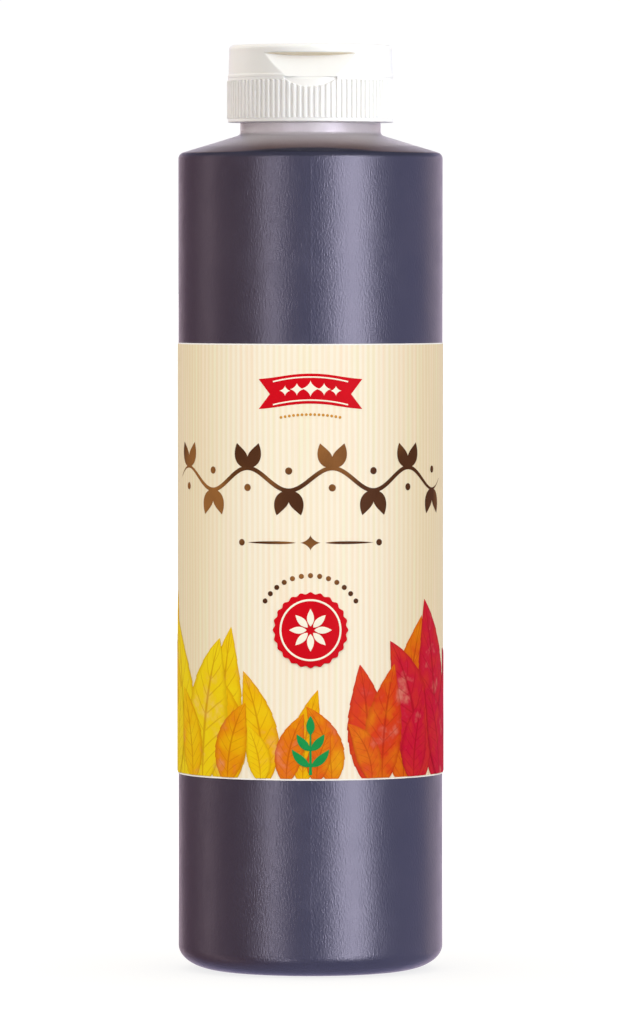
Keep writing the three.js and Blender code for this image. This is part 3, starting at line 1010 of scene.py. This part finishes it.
class SYRUP_OT_label(bpy.types.Operator):
    """Builds the wrap label and its print on both faces"""

    bl_idname = "syrup_bottle.label"
    bl_label = "Label and Print"

    def execute(self, context):
        s = context.scene.syrup_bottle_label
        show("label_sleeve", label_mesh(s), label_film(s), BOTTLE_BODY, "label_film", "label")
        show("leaf_print", leaf_bank(s), leaf_ink(), BOTTLE_BODY, "label_film")
        brown = ink("brown ink", s.brown, 0.5, wash=s.tan)
        red = ink("red ink", s.red, 0.3)
        pale = ink("pale ink", s.pale, 0.1)
        prints = (
            ("vine_print", vine, brown),
            ("rule_print", rule_and_beads, brown),
            ("crest_print", crest_ribbon, red),
            ("crest_marks_print", crest_marks, pale),
            ("crest_dots_print", crest_dots, ink("gold ink", s.gold, 0.3)),
            ("seal_print", seal, red),
            ("seal_marks_print", seal_marks, pale),
            ("sprig_print", sprig, ink("green ink", s.green, 0.4)),
        )
        for name, maker, material in prints:
            grids = [grid for face in (0.0, np.pi * s.radius) for grid in maker(s, face)]
            show(name, skin(name, grids), material, BOTTLE_BODY, "label_film")
        return {"FINISHED"}


# Cap


def scoop_radius(s, angles, height):
    """Distance of the scoop's flat face from the axis along each angle: its distance from the axis over the
    cosine of the angle, and far out where the face lies behind."""
    face = s.scoop_y + (s.scoop_z - height) * s.scoop_slope
    return face / np.maximum(np.cos(angles), 0.05)


def notch_radius(s, angles, height):
    """Floor of the thumb notch at the front of the ribs. Its lower edge is a parabola, above which the
    radius steps in to the floor, and elsewhere it lies out past the ribs."""
    across = s.crest * np.sin(angles) / s.notch_width
    front = (np.abs(across) < 1) & (np.cos(angles) > 0)
    edge = s.rib_top - s.notch_depth * (1 - across**2)
    inside = ramp(height - edge, 0, 0.3 * MM) * front
    past_ribs = s.crest + 1.0 * MM
    floor = s.notch_floor + s.notch_slope * (s.rib_top - height)
    return past_ribs - inside * (past_ribs - floor)


def lug_radius(s, angles, height, foot, up):
    """Distance of a hinge lug's flat back along each angle, or 0 outside the lug. foot is the height of its
    inner end, and up is 1 on the lid and -1 on the base."""
    behind = np.abs(angles - np.pi)
    reach = np.arcsin(0.5 * s.lug_width / HINGE[1])
    inside = 1 - ramp(behind, reach, reach + 0.012)
    run = (height - foot) * up
    bevel = np.maximum(run - (s.lug_height - s.lug_bevel), 0)
    kept = (run > -0.01 * MM) & (run < s.lug_height + 0.3 * MM)
    return inside * kept * (HINGE[1] - bevel) / np.maximum(-np.cos(angles), 0.5)


def cap_base_mesh(s):
    """Cap base as rows turned about the axis: bore, plain band, ribs, ledge, deck and dished mouth.

    Between the band and the ledge the radius runs from root to crest as a rounded step of the place across
    a rib. The scoop's face and the notch trim it in front, and the hinge lug fills it out behind."""
    angles = turn_angles(12 * s.ribs)
    across = np.abs((angles * s.ribs / (2 * np.pi) + 0.5) % 1.0 - 0.5) * 2
    rib = (s.crest - s.root) * (1 - ramp(across, 0.36, 0.64))
    low, band_top = BASE_LOW[2], BASE_LOW[2] + s.band_height
    edge, small, broad = 0.25 * MM, 0.2 * MM, 0.4 * MM  # radii of moulded edges
    dish = arc((0, s.deck_z + 0.8 * MM), (s.mouth - s.mouth_rim, -s.mouth_dish), 0, 90, 8)[1:]
    plain = np.concatenate((
        [(0, s.ceiling), (0.5 * s.bore, s.ceiling), (s.bore, s.ceiling), (s.bore, low)],
        arc((s.band - edge, low + edge), (edge, edge), -90, 0, 4),
        line((s.band, low + edge), (s.band, band_top), 2),
        arc((s.band - small, band_top - small), (small, small), 0, 90, 3),
    ))
    notched = s.rib_top - s.notch_depth - 0.3 * MM
    straight = np.linspace(band_top + small, notched, 12)[[0, 3, 6, 9, 10, 11]]  # closer under the lug
    ribbed_z = np.concatenate((
        [band_top, band_top + 0.05 * MM],
        straight,
        np.linspace(notched, s.rib_top - 0.25 * MM, 24)[1:],
    ))
    ribbed = np.concatenate((
        np.column_stack((np.full_like(ribbed_z, s.root), ribbed_z)),
        arc((s.root - small, s.rib_top - small), (small, small), 0, 90, 4),
    ))
    inner = np.concatenate((
        [(s.ledge, s.rib_top), (s.ledge, s.rib_top + small)],
        arc((s.ledge - s.soft, s.ledge_z - s.soft), (s.soft, s.soft), 0, 90, 4),
        [(s.deck + 0.3 * MM, s.ledge_z), (s.deck, s.ledge_z + small)],
        arc((s.deck - broad, s.deck_z - broad), (broad, broad), 0, 90, 5),
        [(s.mouth + 0.3 * MM, s.deck_z), (s.mouth, s.deck_z + small)],
        arc((s.mouth - 0.5 * s.mouth_rim, s.deck_z + broad), (0.5 * s.mouth_rim, broad), 10, 170, 10),
        dish,
    ))
    rows = np.concatenate((plain, ribbed, inner))
    ribs = np.zeros((len(rows), 1))
    ribs[len(plain):len(plain) + len(ribbed)] = 1
    radius = rows[:, :1] + ribs * rib
    height = rows[:, 1:]
    outer = radius > s.deck + 1.0 * MM
    radius = np.where(outer, np.maximum(radius, lug_radius(s, angles, height, s.ledge_z, -1)), radius)
    radius = softest(radius, scoop_radius(s, angles, height), s.soft)
    radius = np.minimum(radius, notch_radius(s, angles, height))
    radius[[0, -1]] = 0
    return skin("cap base", [turned(radius, height, angles)])


def lid_mesh(s):
    """Lid as rows turned about the axis: ceiling, inner wall, foot, outer wall, underside of the lip, top.

    The scoop's face trims the outer wall. It ends under the lip at the height where the face meets the
    lip's sloping underside, and where there is no scoop that underside shrinks to nothing."""
    angles = turn_angles(900)
    cosine = np.maximum(np.cos(angles), 0.05)
    foot, head = LID_LOW[2], LID_HIGH[2]
    slope = s.lip_slope
    corner_face = s.scoop_y + s.scoop_z * s.scoop_slope
    meet = s.lip_z - slope * s.lid_head + slope * corner_face / cosine
    meet = np.minimum(meet / (1 + slope * s.scoop_slope / cosine), s.lip_z)
    at_meet = np.minimum(scoop_radius(s, angles, meet), s.lid_head)

    wall_gap = s.lid_wall * math.hypot(1, s.scoop_slope)
    ceiling_rows = np.array([0, 0.4, 0.8, 0.985])[:, None]
    wall_rows = np.linspace(s.lid_ceiling - 0.4 * MM, foot + 0.2 * MM, 10)[:, None]
    inner_z = np.concatenate((np.full_like(ceiling_rows, s.lid_ceiling), wall_rows))
    inner_edge = scoop_radius(s, angles, inner_z) - wall_gap / cosine
    inner = softest(np.full_like(inner_edge, s.lid_cavity), inner_edge, s.soft)
    inner[:len(ceiling_rows)] *= ceiling_rows

    share = np.concatenate((np.linspace(0, 0.16, 9), np.linspace(0.2, 1, 26)))[:, None]
    outer_z = foot + share * (meet - foot)
    draft = s.lid_foot + (s.lid_head - s.lid_foot) * (outer_z - foot) / (s.lip_z - foot)
    above_bead = ramp(outer_z - foot, s.lid_bead_height, 1.5 * s.lid_bead_height)
    bead = (s.lid_bead - s.lid_foot) * (1 - above_bead)
    rounded = s.soft * (1 - np.sqrt(1 - np.clip(1 - (outer_z - foot) / s.soft, 0, 1) ** 2))
    wall = np.maximum(draft + bead - rounded, lug_radius(s, angles, outer_z, foot, 1))
    outer = softest(wall, scoop_radius(s, angles, outer_z), s.soft)
    outer[-1] = np.minimum(outer[-1], at_meet)

    out = np.linspace(0.08, 1, 8)[:, None]
    edge = np.minimum(s.lip_round, 0.5 * (s.lid_head - at_meet))
    turn = np.radians(np.linspace(-72, 0, 7))[:, None]
    lip = at_meet + out * (s.lid_head - edge - at_meet)
    lip_z = meet + out * (s.lip_z - slope * edge - meet)
    lip = np.concatenate((lip, s.lid_head - edge + edge * np.cos(turn)))
    lip_z = np.concatenate((lip_z, s.lip_z + edge + edge * np.sin(turn)))

    top = np.concatenate((
        line((s.lid_head, s.lip_z + s.lip_round), (s.lid_head, head - s.lid_round), 1),
        arc((s.lid_head - s.lid_round, head - s.lid_round), (s.lid_round, s.lid_round), 0, 90, 10),
        [(0.6 * s.lid_head, head), (0.3 * s.lid_head, head), (0, head)],
    ))
    columns = np.ones_like(angles)
    radius = np.concatenate((inner, outer, lip, top[:, :1] * columns))
    height = np.concatenate((inner_z * columns, outer_z, lip_z, top[:, 1:] * columns))
    return skin("lid", [turned(radius, height, angles)])


def hinge_mesh(s):
    """The thin strap of the hinge: a flat superellipse carried across between the lugs, shut at its ends."""
    waves = np.stack((np.cos(turn_angles(48)), np.sin(turn_angles(48))))
    thick, tall = np.sign(waves) * np.abs(waves) ** 0.4
    x = np.linspace(-0.5, 0.5, 9) * (s.lug_width - 0.6 * MM)
    x = np.concatenate((x[:1], x, x[-1:]))[:, None]
    shut = shut_ends(len(x))
    y = HINGE[1] - 0.55 * s.film + shut * 0.5 * s.film * thick
    z = HINGE[2] + shut * 0.6 * MM * tall
    return skin("hinge strap", [np.stack(np.broadcast_arrays(x, y, z), axis=-1)])


def cap_plastic(s):
    """Satin white polypropylene with a faint moulded skin, and painted warm shade on the lip's underside
    over the scoop.
    """
    material, tree, surface = new_material("cap plastic")
    point = object_point(tree)
    grain = grouped(
        tree,
        shared_group("mould grain", mould_grain_group),
        {"Point": point, "Fineness": 900.0, "Upright": 1.0},
    )
    cloud = stepped(tree, noise(tree, point, 60.0, detail=3.0), 0.35, 0.75)
    worn = tuple(0.965 * c for c in s.white)
    facing = node(
        tree,
        "ShaderNodeVectorTransform",
        {0: node(tree, "ShaderNodeNewGeometry").outputs["Normal"]},
        vector_type="NORMAL",
        convert_from="WORLD",
        convert_to="OBJECT",
    ).outputs[0]
    _, _, upwards = node(tree, "ShaderNodeSeparateXYZ", {0: facing}).outputs
    _, backwards, height = node(tree, "ShaderNodeSeparateXYZ", {0: point}).outputs
    # painted shade: down-facing faces of the lip over the scoop take the warm underside tone in place of its
    # shadow
    under = stepped(tree, upwards, -0.5, -0.9)
    in_front = stepped(tree, backwards, 1.4 * MM - s.scoop_y, 0.8 * MM - s.scoop_y)
    on_lip = maths(tree, "MULTIPLY", in_front, stepped(tree, height, s.rib_top, s.scoop_z - 1.0 * MM))
    shaded = maths(tree, "MULTIPLY", under, on_lip)
    skin_tone = blended(tree, cloud, rgba(s.white), rgba(worn))
    principled(tree, surface, {
        "Base Color": blended(tree, shaded, skin_tone, rgba(s.underside)),
        "Roughness": maths(tree, "ADD", 0.34, maths(tree, "MULTIPLY", grain["Scuff"], 0.08)),
        "Specular IOR Level": 0.12,
        "Normal": bumped(tree, grain["Height"], 0.00001),
        "Subsurface Weight": 0.08,
        "Subsurface Radius": (1.0, 0.8, 0.55),
        "Subsurface Scale": 0.0006,
    })
    return material


class SYRUP_OT_cap(bpy.types.Operator):
    """Builds the cap base, the flip lid and the hinge strap between them"""

    bl_idname = "syrup_bottle.cap"
    bl_label = "Flip-top Cap"

    def execute(self, context):
        s = context.scene.syrup_bottle_cap
        white = cap_plastic(s)
        base = show("cap_base_shell", cap_base_mesh(s), white, BOTTLE_BODY, "cap_plastic", "cap_base")
        lid = show("lid_shell", lid_mesh(s), white, LID_BODY, "cap_plastic", "lid")
        base.visible_glossy = lid.visible_glossy = False  # keeps its mirror image off the shoulder
        strap = show("hinge_strap", hinge_mesh(s), white, None, "cap_plastic")
        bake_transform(strap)
        return {"FINISHED"}


# Stage


def floor_mesh():
    """A wide flat disc: rings of growing radius at height 0."""
    radius = np.array([0, 0.2, 0.6, 2.0, 8.0, 40.0])[:, None]
    grid = turned(radius, np.zeros_like(radius), turn_angles(64))
    mesh = bpy.data.meshes.new("floor")
    mesh.from_pydata(grid.reshape(-1, 3).tolist(), [], grid_faces(*grid.shape[:2], False).tolist())
    return mesh


def floor_paint(s):
    """A pale floor that is white to the eye, a little less so close round the foot, where its glow is
    painted dimmer as painted shade and where it also takes real shade.
    """
    material, tree, surface = new_material("pale floor")
    path = node(tree, "ShaderNodeLightPath").outputs
    seen = maths(tree, "MAXIMUM", path["Is Camera Ray"], path["Is Transmission Ray"])
    away = node(tree, "ShaderNodeVectorMath", {0: object_point(tree)}, operation="LENGTH").outputs["Value"]
    # painted shade: the glow is dimmer close round the foot
    glow = maths(tree, "ADD", 0.80, maths(tree, "MULTIPLY", stepped(tree, away, 0.04, 0.40), 0.22))
    principled(tree, surface, {
        "Base Color": rgba(s.floor_colour),
        "Roughness": 0.9,
        "Specular IOR Level": 0.0,
        "Emission Color": (1.0, 1.0, 1.0, 1.0),
        "Emission Strength": maths(tree, "MULTIPLY", seen, glow),
    })
    return material


def panel_light(
    name, azimuth, distance, height, size_xy, radiance, colour, soft=False, only=None, shade=None, beam=None
):
    """A light panel that faces the bottle. azimuth 0 is in front and 90 at +X. A soft panel is aimed at the
    bottle's middle and only lights what is matt, and the others shine level and only show in what is glossy.
    only names the one finish that the panel lights, and shade the one finish that casts its shadows. A beam
    is a soft panel that shines level, with a narrow spread in degrees."""
    lamp = bpy.data.lights.new(name, "AREA")
    lamp.shape = "RECTANGLE"
    lamp.size, lamp.size_y = size_xy
    lamp.energy = 4 * lamp.size * lamp.size_y * radiance
    lamp.color = colour
    panel = bpy.data.objects.new(name, lamp)
    bpy.context.scene.collection.objects.link(panel)
    turn = math.radians(azimuth)
    panel.location = (distance * math.sin(turn), -distance * math.cos(turn), height)
    if beam:
        lamp.spread = math.radians(beam)
    middle = Vector((0, 0, 0.5 * LID_HIGH[2] if soft and not beam else height))
    panel.rotation_euler = (middle - panel.location).to_track_quat("-Z", "Y").to_euler()
    panel.visible_camera = False
    panel.visible_glossy = not soft
    panel.visible_diffuse = soft
    if only:
        panel.light_linking.receiver_collection = bpy.data.collections[only]
    if shade:
        panel.light_linking.blocker_collection = bpy.data.collections[shade]


def sky(s):
    """White to the eye and through the plastic, a soft light on what is matt, and dim in what is glossy."""
    world = bpy.data.worlds.new("white studio")
    bpy.context.scene.world = world
    world.use_nodes = True
    world.cycles.sampling_method = "NONE"
    tree = world.node_tree
    tree.nodes.clear()
    path = node(tree, "ShaderNodeLightPath").outputs
    seen = maths(tree, "MAXIMUM", path["Is Camera Ray"], path["Is Transmission Ray"])
    way = node(tree, "ShaderNodeTexCoord").outputs["Generated"]
    right, back, up = node(tree, "ShaderNodeSeparateXYZ", {0: way}).outputs
    behind = stepped(tree, back, 0.1, 0.7)
    darkest = maths(tree, "ADD", 0.7, maths(tree, "MULTIPLY", behind, 0.2))
    overhead = maths(tree, "MULTIPLY", stepped(tree, up, 0.15, 0.60), darkest)
    walls = blended(tree, stepped(tree, right, -0.8, 0.0), rgba(s.gloom_left), rgba(s.gloom_right))
    strength = s.gloom
    for dimming in (overhead, maths(tree, "MULTIPLY", behind, 0.5)):
        strength = maths(tree, "MULTIPLY", strength, maths(tree, "SUBTRACT", 1.0, dimming))
    colour = blended(tree, path["Is Diffuse Ray"], walls, rgba(s.ambient_colour))
    colour = blended(tree, seen, colour, (1.0, 1.0, 1.0, 1.0))
    for rays, level in ((path["Is Diffuse Ray"], s.ambient), (seen, 1.02)):
        strength = node(tree, "ShaderNodeMix", {0: rays, 2: strength, 3: level}).outputs[0]
    glow = node(tree, "ShaderNodeBackground", {"Color": colour, "Strength": strength})
    out = node(tree, "ShaderNodeOutputWorld")
    tree.links.new(glow.outputs[0], out.inputs["Surface"])


class SYRUP_OT_stage(bpy.types.Operator):
    """Sets the pale floor, the light panels and the camera"""

    bl_idname = "syrup_bottle.stage"
    bl_label = "Stage"

    def execute(self, context):
        s = context.scene.syrup_bottle_stage
        floor = bpy.data.objects.new("floor", floor_mesh())
        context.scene.collection.objects.link(floor)
        floor.data.materials.append(floor_paint(s))
        floor.visible_glossy = False
        floor.visible_shadow = False
        sky(s)
        white = (1.0, 1.0, 1.0)
        panel_light("key strip", 35.5, 0.55, 0.075, (0.30, 1.05), 0.78 * s.key, s.key_colour)
        panel_light("key head", 35.5, 0.55, 0.325, (0.30, 0.55), 0.25 * s.key, s.key_colour)
        panel_light("fill strip", -32.5, 0.55, -0.10, (0.12, 1.40), s.fill, s.fill_colour)
        panel_light("side strip", -98, 0.55, 0.00, (0.10, 1.20), s.side, s.side_colour)
        panel_light(
            "backdrop", 165, 1.20, 0.0, (2.40, 1.00), s.backdrop, s.backdrop_colour, only="bottle_plastic"
        )
        shoulder = {"soft": True, "only": "bottle_plastic", "shade": "label_film"}
        panel_light("neck panel", 180, 0.80, 1.00, (0.80, 0.80), s.neck, s.neck_colour, **shoulder)
        panel_light("collar beam", 10, 0.40, 0.2435, (0.10, 0.006), s.collar, white, beam=2.5, **shoulder)
        soft_panels = (
            ("cap panel", 50, 0.33, s.cap_light, s.cap_colour, "cap_plastic"),
            ("cap rim panel", -118, 0.45, s.cap_rim, s.neck_colour, "cap_plastic"),
            ("right panel", 42, 0.75, s.front, white, "label_film"),
            ("left panel", -42, 0.75, s.front, white, "label_film"),
        )
        for name, azimuth, height, radiance, colour, finish in soft_panels:
            panel_light(name, azimuth, 1.10, height, (0.90, 0.90), radiance, colour, soft=True, only=finish)
        for finish in ("label_film", "bottle_plastic"):
            name = f"back panel on {finish}"
            panel_light(name, 180, 1.30, 0.75, (1.60, 0.90), s.rear, white, soft=True, only=finish)
        optics = bpy.data.cameras.new("camera")
        optics.sensor_width = 36
        optics.lens = optics.sensor_width * s.eye_distance / s.frame_height
        optics.clip_end = 100
        camera = bpy.data.objects.new("camera", optics)
        context.scene.collection.objects.link(camera)
        camera.location = (0, -s.eye_distance, s.eye_height)
        drop = math.atan2(s.eye_height - s.frame_middle, s.eye_distance)
        camera.rotation_euler = (math.pi / 2 - drop, 0, 0)
        context.scene.camera = camera
        context.scene.view_settings.view_transform = "Standard"
        return {"FINISHED"}


class SYRUP_PT_panel(bpy.types.Panel):
    """Lists the settings and the steps that build the bottle"""

    bl_idname = "SYRUP_PT_panel"
    bl_label = "Syrup Bottle"
    bl_space_type = "VIEW_3D"
    bl_region_type = "UI"
    bl_category = "Syrup Bottle"

    def draw(self, context):
        for step, name in STEPS:
            box = self.layout.box()
            box.operator(step.bl_idname)
            settings = getattr(context.scene, name)
            for key in settings.__annotations__:
                box.prop(settings, key)


STEPS = (
    (SYRUP_OT_bottle, "syrup_bottle_body"),
    (SYRUP_OT_label, "syrup_bottle_label"),
    (SYRUP_OT_cap, "syrup_bottle_cap"),
    (SYRUP_OT_stage, "syrup_bottle_stage"),
)
SETTINGS = {
    "syrup_bottle_stage": StageSettings,
    "syrup_bottle_body": BottleSettings,
    "syrup_bottle_label": LabelSettings,
    "syrup_bottle_cap": CapSettings,
}
CLASSES = (*SETTINGS.values(), *(step for step, _ in STEPS), SYRUP_PT_panel)


def register():
    for kind in CLASSES:
        bpy.utils.register_class(kind)
    for name, kind in SETTINGS.items():
        setattr(bpy.types.Scene, name, PointerProperty(type=kind))


def unregister():
    for name in SETTINGS:
        delattr(bpy.types.Scene, name)
    for kind in reversed(CLASSES):
        bpy.utils.unregister_class(kind)


def main():
    register()
    bpy.ops.syrup_bottle.bottle()
    bpy.ops.syrup_bottle.label()
    bpy.ops.syrup_bottle.cap()
    bpy.ops.syrup_bottle.stage()


if __name__ == "__main__":
    main()
